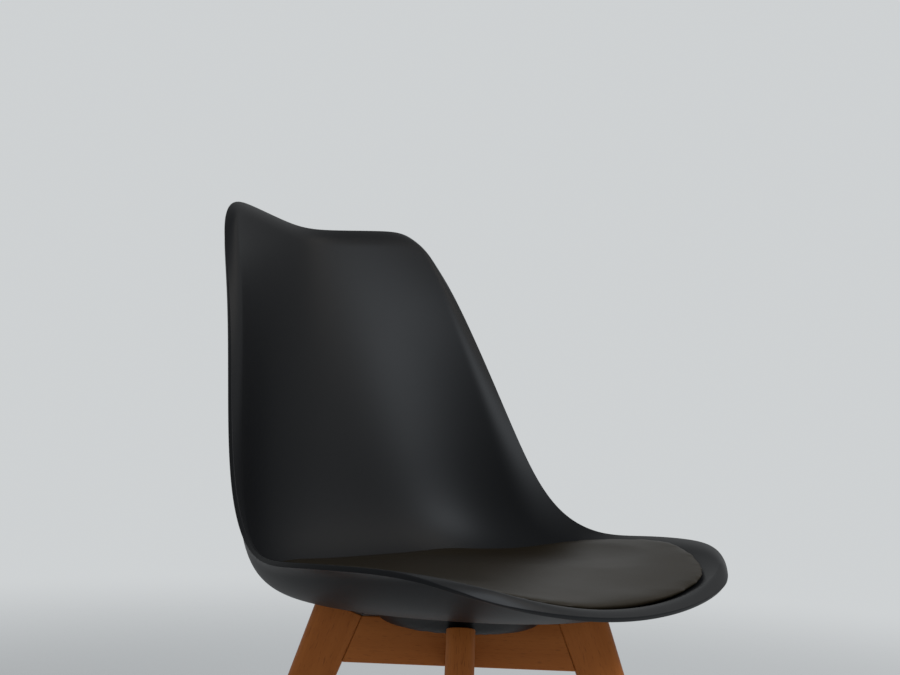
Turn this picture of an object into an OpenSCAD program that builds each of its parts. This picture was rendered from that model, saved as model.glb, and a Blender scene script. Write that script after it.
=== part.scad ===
// Padded shell dining chair: a moulded shell with a seat cushion, bolted to two crossed
// rails between four splayed wooden legs.
// The chair faces -Y. The origin is on the floor, under the middle of the chair.
// "left" and "right" are as seen by somebody who stands in front of the chair.

/* [Shell] */
// Width of the shell across its widest place, the sides of the seat
shell_w = 476; // [400:1:580]
// Depth of the shell from the front edge to the top edge of the back
shell_d = 507; // [430:1:620]
// Height of the front edge of the seat above the floor
seat_h = 440; // [360:1:540]
// Height of the middle of the back's top edge above the seat's front edge
back_rise = 380; // [310:1:470]
// Wall thickness of the shell
wall = 5; // [3:0.1:7]
// Thickness of the thinned edge of the shell
edge_wall = 4.4; // [3:0.1:5]
// Width of the lip round the rim, over which the wall bends outwards
lip_w = 18; // [10:1:40]
// Distance by which the rim is bent outwards
lip_bend = 8; // [2:0.5:12]
// Radius of the flat face of the boss under the seat, which the rails carry
boss_r = 70; // [62:1:74]
// Depth of the boss below the underside of the seat
boss_drop = 14.5; // [12:0.5:20]
// Depth of the slots in the boss, in which the rails sit
slot_depth = 3; // [2:0.5:8]
// Play of the rails in the slots, on each side
slot_play = 0.3; // [0.1:0.1:1]

/* [Cushion] */
// Thickness of the seat cushion at its middle
cushion_t = 32; // [20:1:45]
// Thickness of the seat cushion at its edge
cushion_edge_t = 6; // [6:0.5:14]
// Gap between the cushion and the shell
cushion_gap = 0.8; // [0.6:0.1:0.9]

/* [Legs] */
// Width of a leg at its top, measured along the diagonal and square to the leg
leg_top_w = 47; // [36:1:56]
// Thickness of a leg across the diagonal, which is also the diameter of its foot
leg_t = 25; // [20:0.5:30]
// Lean of a leg from the vertical
leg_lean = 20; // [12:0.5:25]
// Distance from the middle of the chair's frame to the inner face of a leg, at rail top
leg_r = 94.5; // [94:0.5:120]
// Distance of the frame's middle behind the middle of the shell (negative: in front)
frame_y = -26; // [-50:0.5:0]

/* [Rails] */
// Height of a crossed rail
rail_h = 44.5; // [38:0.5:60]
// Thickness of a crossed rail
rail_t = 25; // [18:0.5:30]
// Play in the halved joint of the rails, on each face
lap_play = 0.1; // [0.05:0.05:0.3]

/* [Fasteners] */
// Diameter of the frame bolts
bolt_d = 6; // [5:1:8]
// Length of the frame bolts under the head
bolt_l = 38; // [36:0.5:41]
// Distance of the frame bolts from the frame's middle
bolt_r = 55; // [40:1:62]
// Depth of the counterbore for the bolt head
bolt_sink = 18; // [10:1:22]
// Length of the threaded inserts
insert_l = 11; // [8:0.5:12]
// Outer diameter of the threaded inserts
insert_d = 10; // [9:0.5:13]
// Diameter of the dowels between leg and rail
dowel_d = 8; // [6:1:10]
// Length of the dowels
dowel_l = 40; // [30:1:46]
// Play around pins, bolts and inserts, on the radius
fit_play = 0.05; // [0.05:0.05:0.2]

/* [Feet] */
// Diameter of the foot glides
glide_d = 19; // [14:1:22]
// Height of the foot glides
glide_h = 5; // [3:0.5:8]
// Diameter of the nail of a glide
nail_d = 2.6; // [2:0.1:4]
// Length of the nail of a glide
nail_l = 20; // [14:1:26]

/* [Hidden] */
LEGS = ["front_left", "front_right", "rear_left", "rear_right"];
LEG_ANGLES = [225, 315, 135, 45];
$fn = 48;

black = "#1b1c1f";
leather = "#211e1c";
beech = "#a0622f";
steel = "#b9bcc0";
brass = "#b8964a";

// ---------- Shell surface ----------
// The middle of the wall is a surface over a = -1..1 (side to side) and b = -1..1
// (front edge to top edge). Each cross-section runs from the centre profile to the rim,
// and a lip round the rim is then bent outwards.
// The widest place lies this far outside the control points, the foremost this far behind them
side_reach = 1.3;
front_reach = 1;
half_w = shell_w / 2 - side_reach;
front_y = -shell_d / 2 - front_reach;
// Stretch of the control points, which are those of a 507 mm deep and 380 mm high shell
ky = shell_d / 507;
kz = back_rise / 380;
// Centre profile from the front edge to the top edge: [distance from the front, height]
centre = [for (p = [[6, 10], [53, -8], [123, -12], [198, -17], [278, -19], [353, -17],
                    [402, 29], [425, 105], [448, 195], [473.5, 288], [498.5, 378]])
    [front_y + p[0] * ky, seat_h + p[1] * kz]];
// Rim on the right: [distance inside the widest place, distance from the front, height]
rim = [for (p = [[65, 29, 34], [35.5, 68.5, 49.5], [14, 123, 48], [3, 183, 44.5], [10.5, 233.5, 39],
                 [23.5, 276, 50.5], [33.5, 310.5, 85.5], [45, 339, 143], [60.5, 370, 217],
                 [78, 408.5, 301.5], [87, 457.5, 392.5]])
    [half_w - p[0], front_y + p[1] * ky, seat_h + p[2] * kz]];
// Power of the cross-section's curve: high is a flat middle with steep sides
power = [2.1, 2.8, 4.0, 4.5, 5.1, 5.4, 4.5, 3.2, 2.5, 1.8, 0.8];
// Softening of that curve across the middle line
soft = 0.06;
// Rounding of a corner: [share off the width, its power, share off the length, its power].
// The last follows from the others, so that the sides meet in the corner without a kink.
function corner(k, m, e) = [k, m, e, (1 - k) * (1 - e) / (k * m * e)];
front_corner = corner(0.113, 9.8, 0.078);
top_corner = corner(0.077, 14.5, 0.061);

// Uniform cubic spline through both ends of a list of points
function spline(list, t) =
    let (last = len(list) - 1,
         i = min(floor(t), last - 1),
         u = t - i,
         before = i == 0 ? 2 * list[0] - list[1] : list[i - 1],
         after = i == last - 1 ? 2 * list[last] - list[last - 1] : list[i + 2])
    (pow(1 - u, 3) * before + (3 * pow(u, 3) - 6 * u * u + 4) * list[i]
     + (-3 * pow(u, 3) + 3 * u * u + 3 * u + 1) * list[i + 1] + pow(u, 3) * after) / 6;

// Rise of a cross-section from 0 on the middle line to 1 at the rim
function lift(a, p) =
    (pow(a * a + soft, p / 2) - pow(soft, p / 2)) / (pow(1 + soft, p / 2) - pow(soft, p / 2));

// Point on the wall before its lip is bent
function bowl_point(a, b) =
    let (cut = b < 0 ? front_corner : top_corner,
         side = a * (1 - cut[0] * pow(abs(b), cut[1])),
         along = b * (1 - cut[2] * pow(abs(a), cut[3])),
         t = (along + 1) / 2 * (len(centre) - 1),
         c = spline(centre, t),
         r = spline(rim, t),
         up = lift(side, spline(power, t)))
    [r[0] * side, c[0] + (r[1] - c[0]) * up, c[1] + (r[2] - c[1]) * up];

// Unit normals, towards the sitter. At a corner both directions of a surface run together,
// so a normal is taken a little further in.
step = 0.001;
bowl_inset = [0.93, 0.955];
wall_inset = 0.99;
function unit(v) = v / norm(v);
function bowl_normal(a, b) =
    unit(cross(bowl_point(a + step, b) - bowl_point(a - step, b),
               bowl_point(a, b + step) - bowl_point(a, b - step)));

// Share of the lip's bend at a distance from the rim
half_l = 400; // half the length of the shell along its middle line
function lip_share(inside) = pow(max(0, 1 - inside / lip_w), 2);

// Point on the middle of the wall
function mid_point(a, b) =
    let (side = lip_share((1 - abs(a)) * half_w), end = lip_share((1 - abs(b)) * half_l),
         bend = lip_bend * (side + end - side * end),
         place = bowl_point(a, b))
    bend == 0 ? place : place - bend * bowl_normal(bowl_inset[0] * a, bowl_inset[1] * b);

function wall_normal(a, b) =
    let (u = wall_inset * a, v = wall_inset * b)
    unit(cross(mid_point(u + step, v) - mid_point(u - step, v),
               mid_point(u, v + step) - mid_point(u, v - step)));

// The wall thins smoothly over the last stretch before the rim
thin_band = 0.06;
function wall_at(a, b) =
    let (u = min(1, min(1 - abs(a), 1 - abs(b)) / thin_band))
    edge_wall + (wall - edge_wall) * u * u * (3 - 2 * u);

// Point at a distance off the seating face
function seat_point(a, b, off = 0) = mid_point(a, b) + (wall_at(a, b) / 2 + off) * wall_normal(a, b);
function under_point(a, b) = mid_point(a, b) - wall_at(a, b) / 2 * wall_normal(a, b);

// ---------- Sheet solids on a grid ----------
// Loop of [i, j] places round a grid of n by m cells
function grid_loop(n, m) = concat([for (i = [0:n - 1]) [i, 0]], [for (j = [0:m - 1]) [n, j]],
                                  [for (i = [n:-1:1]) [i, m]], [for (j = [m:-1:1]) [0, j]]);

// Closed solid between an upper and a lower grid of points, with one row of points round the edge
module sheet_solid(upper, lower, edge, n, m) {
    row = m + 1;
    size = (n + 1) * row;
    ring = grid_loop(n, m);
    count = len(ring);
    polyhedron(
        points = concat(upper, lower, edge),
        faces = concat(
            [for (i = [0:n - 1], j = [0:m - 1]) let (k = i * row + j) each
                [[k, k + 1, k + row + 1], [k, k + row + 1, k + row]]],
            [for (i = [0:n - 1], j = [0:m - 1]) let (k = size + i * row + j) each
                [[k, k + row + 1, k + 1], [k, k + row, k + row + 1]]],
            [for (q = [0:count - 1])
                let (p = (q + 1) % count,
                     up = ring[q][0] * row + ring[q][1],
                     up_next = ring[p][0] * row + ring[p][1],
                     out = 2 * size + q,
                     out_next = 2 * size + p) each
                [[up, up_next, out_next], [up, out_next, out],
                 [out, out_next, size + up_next], [out, size + up_next, size + up]]]));
}

shell_n = 28;
shell_m = 60;
// Place k of n along a or b, in steps that shorten towards the rim
crowding = 0.6;
function place_at(k, n) = let (u = 2 * k / n - 1) (1 - crowding) * u + crowding * sin(90 * u);

module shell_wall() {
    places = [for (i = [0:shell_n], j = [0:shell_m]) [place_at(i, shell_n), place_at(j, shell_m)]];
    // The rim is rounded: its outermost points stand half the edge's thickness out
    inset = [0.98, 0.99];
    rim_points = [for (g = grid_loop(shell_n, shell_m))
        let (a = place_at(g[0], shell_n),
             b = place_at(g[1], shell_m),
             inside = mid_point(a * inset[0], b * inset[1]),
             place = mid_point(a, b))
        place + edge_wall / 2 * unit(place - inside)];
    sheet_solid([for (p = places) seat_point(p[0], p[1])],
                [for (p = places) under_point(p[0], p[1])],
                rim_points, shell_n, shell_m);
}

// ---------- Heights and places that the pieces share ----------
// Lowest place of the seating face along the middle of the seat
pan_low = min([for (b = [-0.6:0.05:0]) seat_point(0, b)[2]]);
boss_foot = pan_low - wall - boss_drop;
rail_top = boss_foot + slot_depth;
rail_foot = rail_top - rail_h;

// A leg's own frame: Z up along the leg from the middle of its foot, X away from the chair.
// Its square-cut top has its inner edge at the top of the rail.
leg_l = (rail_top + leg_top_w / 2 * sin(leg_lean)) / cos(leg_lean);
foot_r = leg_r + leg_top_w / 2 * cos(leg_lean) + leg_l * sin(leg_lean);
leg_taper = atan((leg_top_w - leg_t) / 2 / leg_l);
// Distance of a leg's inner face from the frame's middle at a height
function inner_r(z) = leg_r + (rail_top - z) * tan(leg_lean + leg_taper);
// Where the leg's middle line meets the top of the glide
glide_r = foot_r - glide_h * tan(leg_lean);

dowel_heights = [for (share = [0.27, 0.73]) rail_foot + rail_h * share];
// Share of a dowel that sits in the rail
dowel_in_rail = 0.55;
dowel_room = 1;

washer_t = 1.6;
washer_d = 2 * bolt_d + 0.5;
washer_play = 0.2; // on the radius, as bore_play
bore_play = 0.3;
head_d = 1.6 * bolt_d;
head_h = bolt_d;
head_overlap = 0.5;
sink_d = washer_d + 2.5;
sink_top = rail_foot + bolt_sink;
head_top = sink_top - 2 * washer_t;

// ---------- Placing ----------
module at_frame() { translate([0, frame_y, 0]) children(); }
module at_leg(i) { at_frame() rotate([0, 0, LEG_ANGLES[i]]) children(); }
module at_every_leg() { for (i = [0:3]) at_leg(i) children(); }
// Bolts sit between the legs' ends of both rails, one towards each leg
module at_bolts() { at_every_leg() translate([bolt_r, 0, 0]) children(); }

// ---------- Shell ----------
// The boss has a flat face with two crossed slots, and sweeps up into the seat's underside
boss_sweep = 22;
// The boss ends inside the wall, below the seating face: flat in the middle, and higher at
// the sweep's end, where the seat rises
boss_top = pan_low - 0.3;
sweep_top = boss_top + 0.7;
boss_bend = [boss_r + 4, boss_top + 0.2];
boss_level = boss_r - 10;
module boss() {
    rise = sweep_top - boss_foot;
    rotate_extrude($fn = 72) polygon(concat(
        [[0, boss_foot]],
        [for (u = [0:0.125:1]) [boss_r + boss_sweep * u, boss_foot + rise * u * u * (3 - 2 * u)]],
        [boss_bend, [boss_level, boss_top], [0, boss_top]]));
}

module shell() {
    slot_l = 2 * (boss_r + boss_sweep);
    slot_w = rail_t + 2 * slot_play;
    color(black) difference() {
        union() {
            shell_wall();
            at_frame() boss();
        }
        at_frame() for (angle = [45, -45]) rotate([0, 0, angle])
            translate([-slot_l / 2, -slot_w / 2, boss_foot - 1])
                cube([slot_l, slot_w, slot_depth + 1]);
        at_bolts() translate([0, 0, rail_top - 1])
            cylinder(h = insert_l + 1 + fit_play, d = insert_d + 2 * fit_play);
    }
}

// ---------- Seat cushion ----------
// It covers a = -side..side and b = front..back of the shell, with rounded corners
cushion_side = 0.958;
cushion_front = -0.94;
cushion_back = 0.10;
cushion_front_corner = corner(0.1, 3, 0.24);
cushion_back_corner = corner(0.28, 4, 0.09);
cushion_n = 24;
// Bulge of the cushion's edge
cushion_bulge = 1.5;

function cushion_place(p, q) =
    let (cut = q < 0 ? cushion_front_corner : cushion_back_corner,
         a = cushion_side * p * (1 - cut[0] * pow(abs(q), cut[1])),
         reach = q * (1 - cut[2] * pow(abs(p), cut[3])))
    [a, (cushion_front + cushion_back) / 2 + (cushion_back - cushion_front) / 2 * reach];

// Thickness: a crown over the whole pad that rolls off to the edge
crown_power = 2.2;
crown_softness = 0.69;
function cushion_at(p, q) =
    let (crown = (1 - pow(abs(p), crown_power)) * (1 - pow(abs(q), crown_power)))
    cushion_edge_t + (cushion_t - cushion_edge_t) * pow(max(0, crown), crown_softness);

module seat_cushion() {
    n = cushion_n;
    places = [for (i = [0:n], j = [0:n]) [place_at(i, n), place_at(j, n)]];
    function low(p) = let (c = cushion_place(p[0], p[1])) seat_point(c[0], c[1], cushion_gap);
    function high(p) =
        let (c = cushion_place(p[0], p[1]))
        seat_point(c[0], c[1], cushion_gap + cushion_at(p[0], p[1]));
    color(leather) sheet_solid([for (p = places) high(p)], [for (p = places) low(p)],
        [for (g = grid_loop(n, n))
            let (p = [place_at(g[0], n), place_at(g[1], n)],
                 place = (low(p) + high(p)) / 2,
                 inside = (low(p * 0.97) + high(p * 0.97)) / 2)
            place + cushion_bulge * unit(place - inside)],
        n, n);
}

// ---------- Legs ----------
// Round of a leg's outer and inner edges at its top; the foot is round
outer_round = 10;
inner_round = 1.5;
slice = 0.01;

module leg_blank() {
    rotate([0, -leg_lean, 0]) hull() {
        cylinder(h = slice, d = leg_t, $fn = 32);
        for (side = [-1, 1]) {
            translate([leg_top_w / 2 - outer_round, side * (leg_t / 2 - outer_round), leg_l - slice])
                cylinder(h = slice, r = outer_round, $fn = 32);
            translate([inner_round - leg_top_w / 2, side * (leg_t / 2 - inner_round), leg_l - slice])
                cylinder(h = slice, r = inner_round, $fn = 16);
        }
    }
}

module dowel_at(z, play = 0, room = 0) {
    translate([inner_r(z) - dowel_l * dowel_in_rail - room, 0, z])
        rotate([0, 90, 0]) cylinder(h = dowel_l + 2 * room, r = dowel_d / 2 + play);
}

module dowel_bores() { for (z = dowel_heights) dowel_at(z, fit_play, dowel_room); }

module leg(i) {
    color(beech) at_leg(i) difference() {
        translate([foot_r, 0, 0]) leg_blank();
        translate([foot_r - leg_t, -leg_t, -leg_t]) cube([2 * leg_t, 2 * leg_t, leg_t + glide_h]);
        dowel_bores();
        translate([glide_r, 0, glide_h - 1])
            cylinder(h = nail_l + 1 + dowel_room, r = nail_d / 2 + fit_play);
    }
}

// ---------- Crossed rails ----------
// A rail lies along X between two opposite legs, its ends cut to the legs' lean
module rail_blank() {
    rotate([90, 0, 0]) translate([0, 0, -rail_t / 2]) linear_extrude(rail_t)
        polygon([[-inner_r(rail_foot), rail_foot], [inner_r(rail_foot), rail_foot],
                 [inner_r(rail_top), rail_top], [-inner_r(rail_top), rail_top]]);
}

module bolt_bore() {
    translate([0, 0, rail_foot - 1]) cylinder(h = bolt_sink + 1, d = sink_d);
    translate([0, 0, rail_foot]) cylinder(h = rail_h + 1, d = bolt_d + 2 * bore_play);
}

// The halved joint: the lower rail is cut from above, the upper rail from below
module rail(angle, cut_from) {
    notch = rail_t + 2 * lap_play;
    color(beech) at_frame() rotate([0, 0, angle]) difference() {
        rail_blank();
        translate([-notch / 2, -rail_t, cut_from]) cube([notch, 2 * rail_t, rail_h / 2 + lap_play / 2 + 1]);
        for (turn = [0, 180]) rotate([0, 0, turn]) {
            dowel_bores();
            translate([bolt_r, 0, 0]) bolt_bore();
        }
    }
}

module rail_lower() { rail(45, rail_foot + rail_h / 2 - lap_play / 2); }
module rail_upper() { rail(-45, rail_foot - 1); }

module rail_dowels() { color(beech) at_every_leg() for (z = dowel_heights) dowel_at(z); }

// ---------- Fasteners ----------
module frame_bolts() {
    key = bolt_d * 0.8;
    key_h = head_h * 0.6;
    color(steel) at_bolts() difference() {
        union() {
            translate([0, 0, head_top - head_h]) cylinder(h = head_h, d = head_d);
            translate([0, 0, head_top - head_overlap]) cylinder(h = bolt_l + head_overlap, d = bolt_d);
        }
        translate([0, 0, head_top - head_h - 1]) cylinder(h = key_h + 1, d = key, $fn = 6);
    }
}

module washer(z, outer) {
    translate([0, 0, z]) difference() {
        cylinder(h = washer_t, d = outer);
        translate([0, 0, -1]) cylinder(h = washer_t + 2, d = bolt_d + 2 * washer_play);
    }
}

module spring_washers() {
    outer = head_d + 1.2;
    gap = 1.2;
    color(steel) at_bolts() difference() {
        washer(head_top, outer);
        translate([0, -gap / 2, head_top - 1]) cube([outer, gap, washer_t + 2]);
    }
}

module flat_washers() { color(steel) at_bolts() washer(head_top + washer_t, washer_d); }

module threaded_inserts() {
    inner = bolt_d / 2 + fit_play;
    outer = insert_d / 2;
    waist = outer - 0.8;
    waist_z = [0.4 * insert_l, 0.6 * insert_l];
    color(brass) at_bolts() translate([0, 0, rail_top]) rotate_extrude()
        polygon([[inner, 0], [outer, 0], [outer, waist_z[0]], [waist, waist_z[0]],
                 [waist, waist_z[1]], [outer, waist_z[1]], [outer, insert_l], [inner, insert_l]]);
}

// ---------- Feet ----------
// A moulded glide with a bevelled sole, nailed up into the foot. The nail's head is sunk.
sole_bevel = 1.2;
nail_head_r = nail_d / 2 + 2;
nail_head_z = [0.5, 1.5];
module glide(i) {
    bore = nail_d / 2 + fit_play;
    sink = nail_head_r + 0.2;
    color(black) at_leg(i) translate([glide_r, 0, 0]) rotate_extrude()
        polygon([[bore, nail_head_z[1]], [sink, nail_head_z[1]], [sink, 0],
                 [glide_d / 2 - sole_bevel, 0], [glide_d / 2, sole_bevel],
                 [glide_d / 2, glide_h], [bore, glide_h]]);
}

module glide_nails() {
    color(steel) at_every_leg() translate([glide_r, 0, 0]) {
        translate([0, 0, nail_head_z[0]])
            cylinder(h = nail_head_z[1] - nail_head_z[0], r = nail_head_r);
        translate([0, 0, 1]) cylinder(h = glide_h - 1 + nail_l, d = nail_d);
    }
}

shell();
seat_cushion();
for (i = [0:3]) {
    leg(i);
    glide(i);
}
rail_lower();
rail_upper();
rail_dowels();
frame_bolts();
spring_washers();
flat_washers();
threaded_inserts();
glide_nails();
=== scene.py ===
"""Padded shell dining chair: a black moulded shell with a padded seat on four splayed beech legs.

The chair faces -Y and stands on z = 0, and its origin is under its middle.
Measures of the pieces are in millimetres and become metres where a mesh is made.
"""

import math

import bmesh
import bpy
import numpy as np
from mathutils import Euler, Matrix, Vector
from mathutils.bvhtree import BVHTree


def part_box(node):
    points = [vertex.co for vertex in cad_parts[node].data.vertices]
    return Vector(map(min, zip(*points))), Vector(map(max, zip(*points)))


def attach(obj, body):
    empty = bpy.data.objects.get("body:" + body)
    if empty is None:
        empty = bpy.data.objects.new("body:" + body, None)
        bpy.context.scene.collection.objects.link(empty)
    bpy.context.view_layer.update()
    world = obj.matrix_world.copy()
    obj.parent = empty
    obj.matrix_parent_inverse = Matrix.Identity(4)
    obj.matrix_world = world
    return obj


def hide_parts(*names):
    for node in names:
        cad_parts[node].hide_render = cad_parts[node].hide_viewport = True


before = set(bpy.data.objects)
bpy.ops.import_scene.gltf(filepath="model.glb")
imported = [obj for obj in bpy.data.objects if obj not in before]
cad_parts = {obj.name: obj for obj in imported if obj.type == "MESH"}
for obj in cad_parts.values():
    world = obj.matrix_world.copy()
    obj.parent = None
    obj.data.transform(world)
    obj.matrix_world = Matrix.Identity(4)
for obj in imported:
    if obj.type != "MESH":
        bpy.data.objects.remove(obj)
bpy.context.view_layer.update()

MM = 0.001
PALE = (0.62, 0.64, 0.65, 1.0)

# Shell: overall places, then the wall
FRONT_Y = -254.5
SEAT_H = 440.0
HALF_WIDTH = 236.7
WALL = 5.0
EDGE_WALL = 4.4
THIN_BAND = 0.06
# Centre profile from the front edge to the top edge: distance from the front, height over the seat
CENTRE = [
    (6, 10), (53, -8), (123, -12), (198, -17), (278, -19), (353, -17),
    (402, 29), (425, 105), (448, 195), (473.5, 288), (498.5, 378),
]
# Rim: distance inside the widest place, distance from the front, height over the seat
RIM = [
    (65, 29, 34), (35.5, 68.5, 49.5), (14, 123, 48), (3, 183, 44.5), (10.5, 233.5, 39),
    (23.5, 276, 50.5), (33.5, 310.5, 85.5), (45, 339, 143), (60.5, 370, 217), (78, 408.5, 301.5),
    (87, 457.5, 392.5),
]
# Power of the cross-section's curve: high is a flat middle with steep sides
POWER = [2.1, 2.8, 4.0, 4.5, 5.1, 5.4, 4.5, 3.2, 2.5, 1.8, 0.8]
SOFT = 0.06
LIP_WIDTH = 18.0
LIP_BEND = 8.0
HALF_LENGTH = 400.0
# Shares of the way to the rim where its normals are taken, as both directions meet in a corner
BOWL_INSET = (0.93, 0.955)
WALL_INSET = 0.99
# How strongly a sheet's rows crowd towards its border
CROWDING = 0.6
# Round of the rim's edges, and how far the rim stands out from the middle of the wall's edge
RIM_FILLET = 0.9
RIM_REACH = 0.6
RIM_STEP = 0.002
RIM_INSIDE = (0.96, 0.97)
QUARTER_ROUND = (0, 30, 60, 90)

# Boss under the seat, flat inside and fading outside, with a slot for each crossed rail
FRAME_Y = -26.0
BOSS_FLAT = 70.0
BOSS_END = 98.0
RAIL_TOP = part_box("rail_lower")[1].z / MM
RAIL_THICK = 25.0
SLOT_DEPTH = 3.0
SLOT_PLAY = 0.3
SLOT_CUT_HEIGHT = 40.0
BOSS_FOOT = RAIL_TOP - SLOT_DEPTH

# Legs
LEGS = {"front_left": 225, "front_right": 315, "rear_left": 135, "rear_right": 45}
LEG_WIDTH = 47.0
LEG_THICK = 25.0
LEG_LEAN = math.radians(20)
LEG_REACH = 94.5
OUTER_ROUND = 10.0
INNER_ROUND = 1.5
LEG_SOFTENING = 0.9
LEG_ROWS = 25
RAIL_SOFTENING = 1.2
GLIDE_HEIGHT = 5.0
GLIDE_WIDTH = 19.0
LEG_LENGTH = (RAIL_TOP + LEG_WIDTH / 2 * math.sin(LEG_LEAN)) / math.cos(LEG_LEAN)
FOOT_REACH = LEG_REACH + LEG_WIDTH / 2 * math.cos(LEG_LEAN) + LEG_LENGTH * math.sin(LEG_LEAN)
GLIDE_REACH = FOOT_REACH - GLIDE_HEIGHT * math.tan(LEG_LEAN)

# Seat cushion: the part of the shell it covers, and its thickness
PAD_SIDE = 0.958
PAD_FRONT = -0.94
PAD_BACK = 0.10
PAD_GAP = 0.8
PAD_THICK = 32.0
PAD_EDGE = 6.0
PAD_CROWN = 2.2
PAD_SOFT = 0.69
PAD_BULGE = 1.5
PAD_INSIDE = 0.97
# Its cover as cloth, in metres: cells, reach of what is held down, and the furthest it may move
COVER_CELL = 0.0045
HELD_WITHIN = 0.004
PAD_CAP = 0.003
PAD_PRESSURE = 3.0
PAD_STIFFNESS = 12.0
PAD_SHRINK = 0.03
CLOTH_QUALITY = 5
CLOTH_FRAMES = 20
SMOOTHINGS = 8


# ---------- Making pieces ----------
def finish_piece(name, bm, material, nodes, sharp=40):
    """Makes a bmesh in millimetres into a finished piece in metres."""
    bmesh.ops.scale(bm, vec=(MM, MM, MM), verts=bm.verts)
    mesh = bpy.data.meshes.new(name)
    bm.to_mesh(mesh)
    bm.free()
    mesh.shade_smooth()
    mesh.set_sharp_from_angle(angle=math.radians(sharp))
    mesh.materials.append(material)
    piece = bpy.data.objects.new(name, mesh)
    bpy.context.scene.collection.objects.link(piece)
    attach(piece, "root")
    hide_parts(*nodes)
    return piece


def close_ring(bm, edges):
    """Closes a hole with one flat face."""
    return bmesh.ops.edgeloop_fill(bm, edges=edges)["faces"]


def border(bm):
    return [edge for edge in bm.edges if edge.is_boundary]


def new_verts(made):
    return [item for item in made["geom"] if isinstance(item, bmesh.types.BMVert)]


def new_edges(made):
    return [item for item in made["geom"] if isinstance(item, bmesh.types.BMEdge)]


def edges_between(edges, verts):
    ring = set(verts)
    return [edge for edge in edges if edge.verts[0] in ring and edge.verts[1] in ring]


# ---------- Shell surface ----------
# The middle of the wall is a surface over a = -1..1, side to side, and b = -1..1, front to top.
def spline(points, t):
    """Uniform cubic spline through both ends of a list of points."""
    points = np.asarray(points, float)
    last = len(points) - 1
    ends = [2 * points[0] - points[1]], points, [2 * points[last] - points[last - 1]]
    points = np.concatenate(ends)
    i = np.clip(np.floor(t).astype(int), 0, last - 1)
    u = t - i
    weights = (1 - u) ** 3, 3 * u**3 - 6 * u**2 + 4, -3 * u**3 + 3 * u**2 + 3 * u + 1, u**3
    shape = u.shape + (1,) * (points.ndim - 1)
    return sum(w.reshape(shape) * points[i + k] for k, w in enumerate(weights)) / 6


def corner(share, power, cut):
    """Rounding of a corner. The last power joins its sides without a kink."""
    return share, power, cut, (1 - share) * (1 - cut) / (share * power * cut)


FRONT_CORNER = corner(0.113, 9.8, 0.078)
TOP_CORNER = corner(0.077, 14.5, 0.061)
PAD_FRONT_CORNER = corner(0.1, 3, 0.24)
PAD_BACK_CORNER = corner(0.28, 4, 0.09)


def lift(a, power):
    """Rise of a cross-section from 0 on the middle line to 1 at the rim."""
    low = SOFT ** (power / 2)
    return ((a * a + SOFT) ** (power / 2) - low) / ((1 + SOFT) ** (power / 2) - low)


def rounded(a, b, first, last):
    """Places -1..1 drawn in at the corners: the first pair where b is negative, then the last."""
    cut = [np.where(b < 0, f, l) for f, l in zip(first, last)]
    return a * (1 - cut[0] * np.abs(b) ** cut[1]), b * (1 - cut[2] * np.abs(a) ** cut[3])


def bowl(a, b):
    """The wall before its lip is bent out."""
    side, along = rounded(a, b, FRONT_CORNER, TOP_CORNER)
    t = (along + 1) / 2 * (len(CENTRE) - 1)
    c, r, up = spline(CENTRE, t), spline(RIM, t), lift(side, spline(POWER, t))
    y = FRONT_Y + c[..., 0] + (r[..., 1] - c[..., 0]) * up
    z = SEAT_H + c[..., 1] + (r[..., 2] - c[..., 1]) * up
    return np.stack([(HALF_WIDTH - r[..., 0]) * side, y, z], -1)


def facing(surface, a, b, step=0.001):
    """Unit normal of a surface, towards the sitter."""
    across = surface(a + step, b) - surface(a - step, b)
    along = surface(a, b + step) - surface(a, b - step)
    normal = np.cross(across, along)
    return normal / np.linalg.norm(normal, axis=-1, keepdims=True)


def lip_share(a, reach):
    return np.clip(1 - (1 - np.abs(a)) * reach / LIP_WIDTH, 0, 1) ** 2


def mid_wall(a, b):
    """The middle of the wall. Near the rim it bends outwards, away from the sitter."""
    across, along = lip_share(a, HALF_WIDTH), lip_share(b, HALF_LENGTH)
    bend = LIP_BEND * (across + along - across * along)
    return bowl(a, b) - bend[..., None] * facing(bowl, a * BOWL_INSET[0], b * BOWL_INSET[1])


def wall_normal(a, b):
    return facing(mid_wall, a * WALL_INSET, b * WALL_INSET)


def wall_at(a, b):
    """Thickness of the wall, which thins towards the rim."""
    u = np.minimum(1, np.minimum(1 - np.abs(a), 1 - np.abs(b)) / THIN_BAND)
    return EDGE_WALL + (WALL - EDGE_WALL) * u * u * (3 - 2 * u)


def seat_face(a, b, off=0.0):
    return mid_wall(a, b) + (wall_at(a, b) / 2 + off)[..., None] * wall_normal(a, b)


def under_face(a, b):
    """The underside, which swells down to the flat face of the boss."""
    place = mid_wall(a, b) - (wall_at(a, b) / 2)[..., None] * wall_normal(a, b)
    reach = np.hypot(place[..., 0], place[..., 1] - FRAME_Y)
    share = np.clip((BOSS_END - reach) / (BOSS_END - BOSS_FLAT), 0, 1)
    share = np.where(place[..., 2] < SEAT_H, share * share * (3 - 2 * share), 0)
    place[..., 2] += (BOSS_FOOT - place[..., 2]) * share
    return place


def crowd(u):
    """Places -1..1 that crowd towards both ends."""
    return (1 - CROWDING) * u + CROWDING * np.sin(math.pi / 2 * u)


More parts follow.
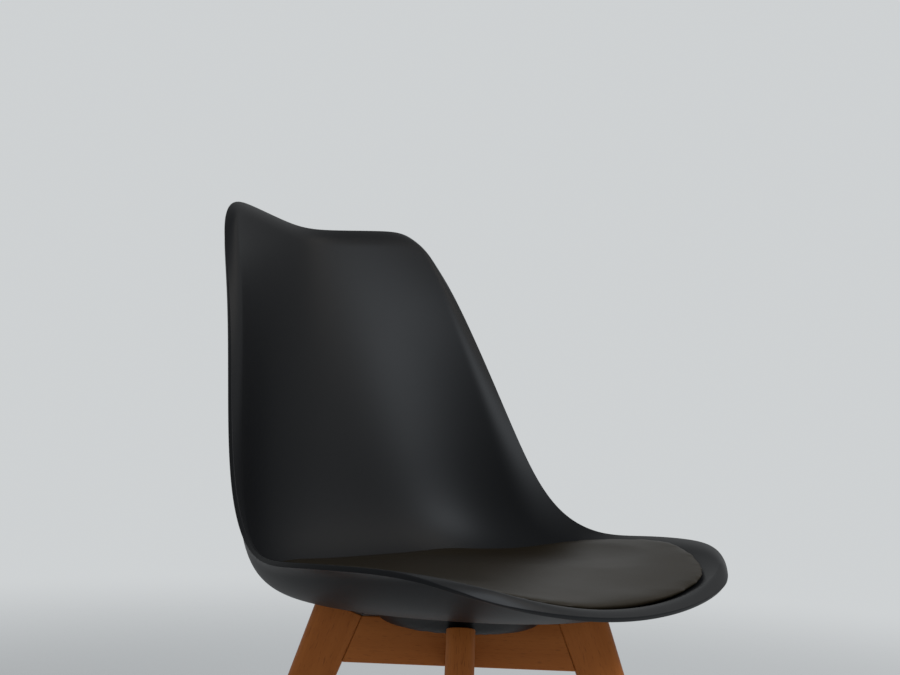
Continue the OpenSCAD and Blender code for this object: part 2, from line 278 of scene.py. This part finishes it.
# ---------- Sheets with two faces ----------
class Sheet:
    """A bmesh grid whose points remember their places a and b."""

    def __init__(self, across, along, spread):
        self.bm = bm = bmesh.new()
        self.a = bm.verts.layers.float.new("a")
        self.b = bm.verts.layers.float.new("b")
        bmesh.ops.create_grid(bm, x_segments=across, y_segments=along, size=1)
        for vert in bm.verts:
            vert[self.a], vert[self.b] = spread(vert.co.x), spread(vert.co.y)

    def move(self, verts, surface):
        """Puts points where a surface of a and b says."""
        a = np.array([vert[self.a] for vert in verts])
        b = np.array([vert[self.b] for vert in verts])
        for vert, place in zip(verts, surface(a, b)):
            vert.co = place

    def double(self, upper, lower):
        """Splits the grid into an upper and a lower face. Returns the upper border."""
        bm = self.bm
        top = bm.verts[:]
        made = bmesh.ops.duplicate(bm, geom=bm.verts[:] + bm.edges[:] + bm.faces[:])["geom"]
        below = [item for item in made if isinstance(item, bmesh.types.BMVert)]
        faces = [item for item in made if isinstance(item, bmesh.types.BMFace)]
        bmesh.ops.reverse_faces(bm, faces=faces)
        rim = [edge for edge in border(bm) if edge.verts[0] not in set(below)]
        self.move(top, upper)
        self.move(below, lower)
        return rim

    def wrap(self, rim, rows):
        """Carries the upper border round to the lower one, row by row."""
        for row in rows:
            made = bmesh.ops.extrude_edge_only(self.bm, edges=rim)
            rim = new_edges(made)
            ring = new_verts(made)
            rim = edges_between(rim, ring)
            self.move(ring, row)
        bmesh.ops.remove_doubles(self.bm, verts=self.bm.verts, dist=0.001)
        self.bm.verts.layers.float.remove(self.a)
        self.bm.verts.layers.float.remove(self.bm.verts.layers.float["b"])
        return self.bm


# ---------- Shell ----------
def rim_frame(a, b):
    """At the rim: the middle of the wall, the way out of it and its normal."""
    on_side = np.abs(a) >= np.abs(b)
    da = np.where(on_side, 0, RIM_STEP)
    db = np.where(on_side, RIM_STEP, 0)
    run = mid_wall(np.clip(a + da, -1, 1), np.clip(b + db, -1, 1))
    run = run - mid_wall(np.clip(a - da, -1, 1), np.clip(b - db, -1, 1))
    normal = wall_normal(a, b)
    out = np.cross(run, normal)
    out /= np.linalg.norm(out, axis=-1, keepdims=True)
    place = mid_wall(a, b)
    inward = mid_wall(a * RIM_INSIDE[0], b * RIM_INSIDE[1]) - place
    out *= -np.sign((out * inward).sum(-1, keepdims=True))
    return place, out, normal


def rim_row(out_by, up_by):
    """A row of points round the rim, at a distance outwards and up from the wall's middle."""

    def row(a, b):
        place, out, normal = rim_frame(a, b)
        return place + out_by * out + up_by * normal

    return row


def rim_rows():
    """The rounded section of the rim, from its upper edge to its lower one."""
    half, r = EDGE_WALL / 2, RIM_FILLET
    rows = []
    for turn in QUARTER_ROUND:
        t = math.radians(turn)
        rows.append((RIM_REACH - r + r * math.sin(t), half - r + r * math.cos(t)))
    rows += [(out, -up) for out, up in reversed(rows)]
    return [rim_row(out, up) for out, up in rows] + [under_face]


def slot_cutter(angle):
    """A block that cuts the boss away where a rail sits in it."""
    bm = bmesh.new()
    bmesh.ops.create_cube(bm, size=1)
    size = (2 * BOSS_END + 4, RAIL_THICK + 2 * SLOT_PLAY, SLOT_CUT_HEIGHT)
    bmesh.ops.scale(bm, vec=size, verts=bm.verts)
    spot = Matrix.Translation((0, FRAME_Y, RAIL_TOP - SLOT_CUT_HEIGHT / 2))
    bmesh.ops.transform(bm, matrix=spot @ Matrix.Rotation(math.radians(angle), 4, "Z"),
                        verts=bm.verts)
    return bm


def loose_object(name, bm):
    """An object for modelling only, in metres."""
    mesh = bpy.data.meshes.new(name)
    bmesh.ops.scale(bm, vec=(MM, MM, MM), verts=bm.verts)
    bm.to_mesh(mesh)
    bm.free()
    made = bpy.data.objects.new(name, mesh)
    bpy.context.scene.collection.objects.link(made)
    return made


def baked(made):
    """The object's mesh with its modifiers applied."""
    bpy.context.view_layer.update()
    shape = made.evaluated_get(bpy.context.evaluated_depsgraph_get())
    return bpy.data.meshes.new_from_object(shape)


def carved(bm, cutters):
    """A bmesh with the cutters' blocks taken out of it."""
    block = loose_object("block", bm)
    tools = [loose_object("cutter", cutter) for cutter in cutters]
    for tool in tools:
        cut = block.modifiers.new("cut", "BOOLEAN")
        cut.operation, cut.solver, cut.object = "DIFFERENCE", "EXACT", tool
    result = bmesh.new()
    result.from_mesh(baked(block))
    for item in (block, *tools):
        bpy.data.objects.remove(item)
    bmesh.ops.scale(result, vec=(1 / MM,) * 3, verts=result.verts)
    return result


def make_shell(material):
    sheet = Sheet(96, 200, crowd)
    rim = sheet.double(seat_face, under_face)
    bm = sheet.wrap(rim, rim_rows())
    bm = carved(bm, [slot_cutter(45), slot_cutter(-45)])
    return finish_piece("moulded_shell", bm, material, ["shell"], sharp=60)


# ---------- Seat cushion ----------
def pad_place(p, q):
    """Where on the shell the cushion's place p, q lies."""
    across, reach = rounded(p, q, PAD_FRONT_CORNER, PAD_BACK_CORNER)
    return PAD_SIDE * across, (PAD_FRONT + PAD_BACK) / 2 + (PAD_BACK - PAD_FRONT) / 2 * reach


def pad_height(p, q):
    crown = np.maximum(0, (1 - np.abs(p) ** PAD_CROWN) * (1 - np.abs(q) ** PAD_CROWN))
    return PAD_EDGE + (PAD_THICK - PAD_EDGE) * crown**PAD_SOFT


def pad_under(p, q):
    a, b = pad_place(p, q)
    return seat_face(a, b, np.full(a.shape, PAD_GAP))


def pad_over(p, q):
    a, b = pad_place(p, q)
    return seat_face(a, b, PAD_GAP + pad_height(p, q))


def pad_side(p, q):
    middle = (pad_under(p, q) + pad_over(p, q)) / 2
    p, q = p * PAD_INSIDE, q * PAD_INSIDE
    out = middle - (pad_under(p, q) + pad_over(p, q)) / 2
    return middle + PAD_BULGE * out / np.linalg.norm(out, axis=-1, keepdims=True)


def solid_cushion():
    sheet = Sheet(56, 56, crowd)
    rim = sheet.double(pad_over, pad_under)
    return sheet.wrap(rim, [pad_side, pad_under])


def stuffed(bm):
    """Inflates the cushion's cover as cloth, held down where it lies on the shell."""
    cover = loose_object("cover", bm)
    even = cover.modifiers.new("even", "REMESH")
    even.mode, even.voxel_size = "VOXEL", COVER_CELL
    mesh = baked(cover)
    cover.modifiers.clear()
    cover.data = mesh

    base = Sheet(56, 56, lambda u: u)
    base.move(base.bm.verts[:], pad_under)
    bmesh.ops.scale(base.bm, vec=(MM, MM, MM), verts=base.bm.verts)
    seat = BVHTree.FromBMesh(base.bm)
    held = cover.vertex_groups.new(name="held")
    near = [v.index for v in mesh.vertices if seat.find_nearest(v.co)[3] < HELD_WITHIN]
    held.add(near, 1.0, "ADD")
    start = [v.co.copy() for v in mesh.vertices]

    cloth = cover.modifiers.new("stuffing", "CLOTH")
    cloth.settings.use_pressure = True
    cloth.settings.uniform_pressure_force = PAD_PRESSURE
    cloth.settings.effector_weights.gravity = 0
    cloth.settings.vertex_group_mass = "held"
    cloth.settings.bending_stiffness = PAD_STIFFNESS
    cloth.settings.shrink_min = PAD_SHRINK
    cloth.settings.quality = CLOTH_QUALITY
    cloth.collision_settings.use_collision = False
    cloth.point_cache.frame_start, cloth.point_cache.frame_end = 1, CLOTH_FRAMES
    for number in range(1, CLOTH_FRAMES + 1):
        bpy.context.scene.frame_set(number)
    mesh = baked(cover)
    bpy.context.scene.frame_set(1)
    bpy.data.objects.remove(cover)
    for vert, place in zip(mesh.vertices, start):
        move = vert.co - place
        if move.length > PAD_CAP:
            vert.co = place + move * (PAD_CAP / move.length)
    puffed = bmesh.new()
    puffed.from_mesh(mesh)
    for _ in range(SMOOTHINGS):
        bmesh.ops.smooth_vert(puffed, verts=puffed.verts, factor=0.5,
                              use_axis_x=True, use_axis_y=True, use_axis_z=True)
    bmesh.ops.scale(puffed, vec=(1 / MM,) * 3, verts=puffed.verts)
    return puffed


def make_cushion(material):
    bm = solid_cushion()
    bm = stuffed(bm)
    piece = finish_piece("seat_cushion_cover", bm, material, ["seat_cushion"], 180)
    finer = piece.modifiers.new("finer", "SUBSURF")
    finer.levels = finer.render_levels = 1
    return piece


# ---------- Legs ----------
def at_leg(angle):
    return Matrix.Translation((0, FRAME_Y, 0)) @ Matrix.Rotation(math.radians(angle), 4, "Z")


# Section of a leg: angle of each point round it, and the corner round which it turns
LEG_SECTION = [
    (math.radians(90 * quarter + 90 * k / count), quarter in (0, 3), 1 if quarter < 2 else -1)
    for quarter, count in ((0, 9), (1, 4), (2, 4), (3, 9))
    for k in range(count + 1)
]


def leg_point(k, share, inset=0.0):
    """Point k of the leg's section: round at the foot, an oblong with an outer round at the top."""
    turn, outer, side = LEG_SECTION[k]
    top = OUTER_ROUND if outer else INNER_ROUND
    r = LEG_THICK / 2 * (1 - share) + top * share - inset
    x = (LEG_WIDTH / 2 - top) * (1 if outer else -1) * share
    y = side * (LEG_THICK / 2 - top) * share
    return x + r * math.cos(turn), y + r * math.sin(turn)


def make_leg(place, angle, material):
    bm = bmesh.new()
    number = bm.verts.layers.int.new("number")
    count = len(LEG_SECTION)
    ring = bmesh.ops.create_circle(bm, segments=count, radius=1)["verts"]
    for k, vert in enumerate(ring):
        vert[number] = k
    rows = [(share, share * LEG_LENGTH, 0.0) for share in np.linspace(0.004, 1, LEG_ROWS)]
    rows[-1] = (1.0, LEG_LENGTH - LEG_SOFTENING, 0.0)
    for turn in QUARTER_ROUND[1:]:
        t = math.radians(turn)
        drop, inset = LEG_SOFTENING * (1 - math.sin(t)), LEG_SOFTENING * (1 - math.cos(t))
        rows.append((1.0, LEG_LENGTH - drop, inset))
    edges = bm.edges[:]
    for i, (share, height, inset) in enumerate(rows):
        if i:
            made = bmesh.ops.extrude_edge_only(bm, edges=edges)
            ring = new_verts(made)
            edges = edges_between(new_edges(made), ring)
        for vert in ring:
            vert.co = (*leg_point(vert[number], share, inset), height)
    close_ring(bm, edges)
    lean = Matrix.Rotation(-LEG_LEAN, 4, "Y")
    bmesh.ops.transform(bm, matrix=Matrix.Translation((FOOT_REACH, 0, 0)) @ lean, verts=bm.verts)
    cut = bmesh.ops.bisect_plane(
        bm, geom=bm.verts[:] + bm.edges[:] + bm.faces[:], dist=0.0001,
        plane_co=(0, 0, GLIDE_HEIGHT), plane_no=(0, 0, -1), clear_outer=True)
    close_ring(bm, [e for e in cut["geom_cut"] if isinstance(e, bmesh.types.BMEdge)])
    bmesh.ops.recalc_face_normals(bm, faces=bm.faces)
    bmesh.ops.transform(bm, matrix=at_leg(angle), verts=bm.verts)
    bm.verts.layers.int.remove(number)
    return finish_piece(f"beech_leg_{place}", bm, material, [f"leg_{place}"])


# ---------- Crossed rails ----------
def make_rail(name, material):
    """The rail as constructed, with its long edges softened."""
    bm = bmesh.new()
    bm.from_mesh(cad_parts[name].data)
    bmesh.ops.scale(bm, vec=(1 / MM,) * 3, verts=bm.verts)
    bmesh.ops.remove_doubles(bm, verts=bm.verts, dist=0.001)
    bmesh.ops.dissolve_limit(bm, angle_limit=math.radians(1), verts=bm.verts, edges=bm.edges)
    long_edges = [
        edge for edge in bm.edges
        if edge.calc_length() > 20 and len(edge.link_faces) == 2
        and edge.calc_face_angle() > math.radians(40)]
    bmesh.ops.bevel(bm, geom=long_edges, offset=RAIL_SOFTENING, offset_type="OFFSET", affect="EDGES",
                    segments=3, profile=0.5, material=-1, clamp_overlap=True)
    bmesh.ops.triangulate(bm, faces=[face for face in bm.faces if len(face.verts) > 4])
    return finish_piece(f"beech_{name}", bm, material, [name])


# ---------- Glides ----------
def make_glide(place, angle, material):
    """A nailed glide: a turned button with a rounded sole and a recess for the nail's head."""
    outer, r = GLIDE_WIDTH / 2, 1.4
    profile = [(1.35, 1.5), (3.5, 1.5), (3.5, 0.15), (3.7, 0), (outer - r, 0)]
    for turn in QUARTER_ROUND[1:]:
        t = math.radians(turn)
        profile.append((outer - r + r * math.sin(t), r - r * math.cos(t)))
    profile += [(outer, GLIDE_HEIGHT - 0.3), (outer - 0.3, GLIDE_HEIGHT), (1.35, GLIDE_HEIGHT)]
    bm = bmesh.new()
    verts = [bm.verts.new((x, 0, z)) for x, z in profile]
    edges = [bm.edges.new(pair) for pair in zip(verts, verts[1:] + verts[:1])]
    bmesh.ops.spin(bm, geom=verts + edges, cent=(0, 0, 0), axis=(0, 0, 1),
                   angle=2 * math.pi, steps=40, use_merge=True)
    bmesh.ops.recalc_face_normals(bm, faces=bm.faces)
    spot = at_leg(angle) @ Matrix.Translation((GLIDE_REACH, 0, 0))
    bmesh.ops.transform(bm, matrix=spot, verts=bm.verts)
    return finish_piece(f"foot_glide_{place}", bm, material, [f"glide_{place}"])


# ---------- Materials ----------
class Value:
    """A socket in an expression. Operators on values add Math nodes."""

    def __init__(self, tree, socket):
        self.tree, self.socket = tree, socket

    def maths(self, operation, *values):
        return self.tree.node("Math", {"operation": operation}, *values)

    def __add__(self, other):
        return self.maths("ADD", self, other)

    def __sub__(self, other):
        return self.maths("SUBTRACT", self, other)

    def __mul__(self, other):
        return self.maths("MULTIPLY", self, other)

    __radd__ = __add__
    __rmul__ = __mul__


class Finish:
    """A material's node tree."""

    def __init__(self, name, tree=None):
        if tree is None:
            self.material = bpy.data.materials.new(name)
            self.material.use_nodes = True
            tree = self.material.node_tree
        self.nodes, self.links = tree.nodes, tree.links
        self.nodes.clear()

    def node(self, kind, settings=None, *values, out=0, **named):
        """Adds a node: its settings first, then the values or links of its sockets."""
        made = self.nodes.new("ShaderNode" + kind)
        for key, setting in (settings or {}).items():
            if key == "stops":
                self.set_stops(made.color_ramp, setting)
            else:
                setattr(made, key, setting)
        pairs = list(enumerate(values))
        pairs += [(key.replace("_", " "), value) for key, value in named.items()]
        for key, value in pairs:
            self.put(made.inputs[key], value)
        return Value(self, made.outputs[out])

    def put(self, socket, value):
        if isinstance(value, Value):
            self.links.new(value.socket, socket)
        else:
            socket.default_value = value

    @staticmethod
    def set_stops(ramp, stops):
        while len(ramp.elements) < len(stops):
            ramp.elements.new(0.5)
        for element, (position, shade) in zip(ramp.elements, stops):
            element.position, element.color = position, (shade, shade, shade, 1)

    def place(self, turn=(0, 0, 0)):
        """Object coordinates, turned back by an Euler rotation."""
        spot = self.node("TexCoord", None, out="Object")
        turned = Euler(turn).to_matrix().inverted().to_euler()
        return self.node("Mapping", None, spot, Rotation=turned)

    def noise(self, spot, scale, detail=3.0, rough=0.5, distortion=0.0):
        return self.node("TexNoise", None, Vector=spot, Scale=scale, Detail=detail,
                         Roughness=rough, Distortion=distortion)

    def ramp(self, value, *stops):
        return self.node("ValToRGB", {"stops": stops}, value)

    def mix(self, share, first, second):
        made = self.nodes.new("ShaderNodeMix")
        made.data_type = "RGBA"
        for socket, value in zip((made.inputs[0], made.inputs[6], made.inputs[7]),
                                 (share, first, second)):
            self.put(socket, value)
        return Value(self, made.outputs[2])

    def bump(self, height, depth, strength=1.0):
        return self.node("Bump", None, Height=height, Distance=depth, Strength=strength)

    def surface(self, **inputs):
        """Ends the tree with a Principled surface."""
        shader = self.node("BsdfPrincipled", None, **inputs)
        self.node_output(shader)
        return self.material

    def node_output(self, shader):
        out = self.nodes.new("ShaderNodeOutputMaterial")
        self.links.new(shader.socket, out.inputs["Surface"])


def black_plastic():
    """Moulded polypropylene: nearly black, with a fine even texture and faint flow."""
    f = Finish("moulded_black_plastic")
    spot = f.place()
    flow = f.noise(spot, 7.0, 3.0)
    grain = f.noise(spot, 1400.0, 2.0, 0.6)
    return f.surface(
        Base_Color=f.mix(flow, (0.0024, 0.0026, 0.0031, 1), (0.0034, 0.0036, 0.0042, 1)),
        Roughness=0.42 + 0.05 * flow + 0.04 * grain,
        Specular_IOR_Level=0.12,
        Normal=f.bump(grain, 0.00006, 0.5))


def leatherette():
    """Coated cloth: warm black with pebbled grain and a soft sheen."""
    f = Finish("black_leatherette")
    spot = f.place()
    pebbles = f.node("TexVoronoi", {"feature": "SMOOTH_F1"}, Vector=spot, Scale=620.0,
                     Smoothness=0.6)
    wear = f.noise(spot, 14.0, 4.0)
    fine = f.noise(spot, 900.0, 3.0)
    return f.surface(
        Base_Color=f.mix(wear, (0.0078, 0.0058, 0.0033, 1), (0.0120, 0.0090, 0.0052, 1)),
        Roughness=0.36 + 0.10 * wear + 0.06 * fine,
        Specular_IOR_Level=0.08,
        Normal=f.bump(pebbles + 0.4 * fine, 0.00012, 0.55))


def beech(name, turn, seed):
    """Stained beech: fine straight grain along Z after turning, with short darker flecks."""
    f = Finish(name)
    spot = f.place(turn)
    shifted = f.node("Mapping", None, spot, Location=(seed, seed * 0.7, seed))
    bands = f.noise(f.node("Mapping", None, shifted, Scale=(60, 60, 2.2)), 1.0, 4.0, 0.55, 0.6)
    fibres = f.noise(f.node("Mapping", None, shifted, Scale=(700, 700, 14)), 1.0, 3.0, 0.6)
    flecks = f.noise(f.node("Mapping", None, shifted, Scale=(900, 900, 120)), 1.0, 1.0)
    fleck = f.ramp(flecks, (0.60, 0.0), (0.72, 1.0))
    tone = f.mix(bands, (0.250, 0.070, 0.012, 1), (0.400, 0.136, 0.030, 1))
    tone = f.mix(0.35 * fibres, tone, (0.150, 0.040, 0.008, 1))
    tone = f.mix(0.35 * fleck, tone, (0.085, 0.023, 0.006, 1))
    return f.surface(
        Base_Color=tone,
        Roughness=0.42 + 0.12 * fibres,
        Specular_IOR_Level=0.1,
        Normal=f.bump(fibres + 0.6 * bands - 0.5 * fleck, 0.00010, 0.4))


def metal(name, colour, dark, rough):
    f = Finish(name)
    spot = f.place()
    cloud = f.noise(spot, 160.0, 4.0)
    scratch = f.noise(spot, 2200.0, 2.0)
    return f.surface(
        Base_Color=f.mix(cloud, dark, colour), Metallic=1.0,
        Roughness=rough + 0.12 * cloud + 0.05 * scratch,
        Normal=f.bump(scratch, 0.00003, 0.4))


def glide_plastic():
    f = Finish("glide_nylon")
    spot = f.place()
    cloud = f.noise(spot, 120.0, 3.0)
    scuffs = f.noise(spot, 900.0, 3.0)
    return f.surface(
        Base_Color=f.mix(cloud, (0.016, 0.016, 0.017, 1), (0.026, 0.026, 0.027, 1)),
        Roughness=0.45 + 0.18 * scuffs,
        Normal=f.bump(scuffs, 0.00005, 0.4))


# ---------- Studio ----------
def pale_if_seen(f, own):
    """The pale backdrop for rays from the camera, mirrors and glass, otherwise its own colour."""
    path = f.nodes.new("ShaderNodeLightPath").outputs
    seen = [Value(f, path[name]) for name in
            ("Is Camera Ray", "Is Glossy Ray", "Is Transmission Ray")]
    share = seen[0].maths("MINIMUM", seen[0] + seen[1] + seen[2], 1.0)
    return f.mix(share, own, PALE)


def make_world():
    world = bpy.data.worlds.new("pale_studio")
    bpy.context.scene.world = world
    world.use_nodes = True
    f = Finish("world", world.node_tree)
    colour = pale_if_seen(f, (0.55, 0.56, 0.57, 1))
    back = f.node("Background", None, Color=colour, Strength=1.0)
    out = f.nodes.new("ShaderNodeOutputWorld")
    f.links.new(back.socket, out.inputs["Surface"])


def make_floor():
    """A pale floor that fades into the backdrop far from the chair."""
    bm = bmesh.new()
    bmesh.ops.create_circle(bm, cap_ends=True, segments=96, radius=12)
    mesh = bpy.data.meshes.new("floor")
    bm.to_mesh(mesh)
    bm.free()
    floor = bpy.data.objects.new("floor", mesh)
    bpy.context.scene.collection.objects.link(floor)
    f = Finish("pale_floor")
    spot = f.place()
    far = f.node("VectorMath", {"operation": "LENGTH"}, spot, out="Value")
    fade = f.node("MapRange", {"interpolation_type": "SMOOTHSTEP"}, far, 1.2, 3.2, 0.0, 1.0)
    paint = f.node("BsdfDiffuse", None, Color=PALE)
    clear = f.node("BsdfTransparent", None)
    f.node_output(f.node("MixShader", None, fade, paint, clear))
    mesh.materials.append(f.material)


def area_light(name, spot, aim, size, power, colour):
    data = bpy.data.lights.new(name, "AREA")
    data.shape = "RECTANGLE"
    data.size, data.size_y = size
    data.energy, data.color = power, colour
    lamp = bpy.data.objects.new(name, data)
    lamp.location = spot
    lamp.visible_camera = False
    lamp.rotation_euler = (Vector(aim) - Vector(spot)).to_track_quat("-Z", "Y").to_euler()
    bpy.context.scene.collection.objects.link(lamp)


def make_lights():
    seat = (0, 0, 0.55)
    area_light("key", (-0.08, -1.05, 1.22), (0.08, 0.18, 0.68), (0.9, 0.45), 18, (0.88, 0.94, 1.0))
    area_light("top", (0.9, -0.9, 2.1), seat, (1.0, 1.0), 10, (1.0, 0.93, 0.84))


def make_camera():
    data = bpy.data.cameras.new("camera")
    data.lens, data.sensor_width = 44.0, 36.0
    camera = bpy.data.objects.new("camera", data)
    turn = Matrix.Rotation(math.radians(-44.33), 4, "Z")
    tilt = Matrix.Rotation(math.radians(94.353), 4, "X")
    roll = Matrix.Rotation(math.radians(2.22), 4, "Z")
    camera.matrix_world = Matrix.Translation((-0.773, -0.788, 0.597)) @ turn @ tilt @ roll
    bpy.context.scene.collection.objects.link(camera)
    bpy.context.scene.camera = camera


# ---------- The chair ----------
def dress(node, material):
    """Gives a constructed node its finish."""
    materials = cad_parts[node].data.materials
    materials.clear()
    materials.append(material)


def make_chair():
    make_shell(black_plastic())
    make_cushion(leatherette())
    nylon = glide_plastic()
    for seed, (place, angle) in enumerate(LEGS.items()):
        turn = (Matrix.Rotation(math.radians(angle), 3, "Z") @ Matrix.Rotation(-LEG_LEAN, 3, "Y"))
        wood = beech(f"beech_{place}", turn.to_euler(), 1.7 * (seed + 1))
        make_leg(place, angle, wood)
        make_glide(place, angle, nylon)
    for name, angle in (("rail_lower", 45), ("rail_upper", -45)):
        turn = Matrix.Rotation(math.radians(angle), 3, "Z") @ Matrix.Rotation(math.pi / 2, 3, "Y")
        make_rail(name, beech(f"beech_{name}", turn.to_euler(), 0.9 + angle / 30))
    dress("rail_dowels", beech("beech_dowels", (0, 0, 0), 4.1))
    zinc = metal("zinc_steel", (0.62, 0.63, 0.65, 1), (0.50, 0.51, 0.54, 1), 0.30)
    for node in ("frame_bolts", "spring_washers", "flat_washers", "glide_nails"):
        dress(node, zinc)
    dress("threaded_inserts", metal("brass", (0.72, 0.53, 0.26, 1), (0.58, 0.41, 0.19, 1), 0.28))


def main():
    bpy.context.scene.view_settings.view_transform = "Standard"
    make_camera()
    make_world()
    make_floor()
    make_lights()
    make_chair()


main()
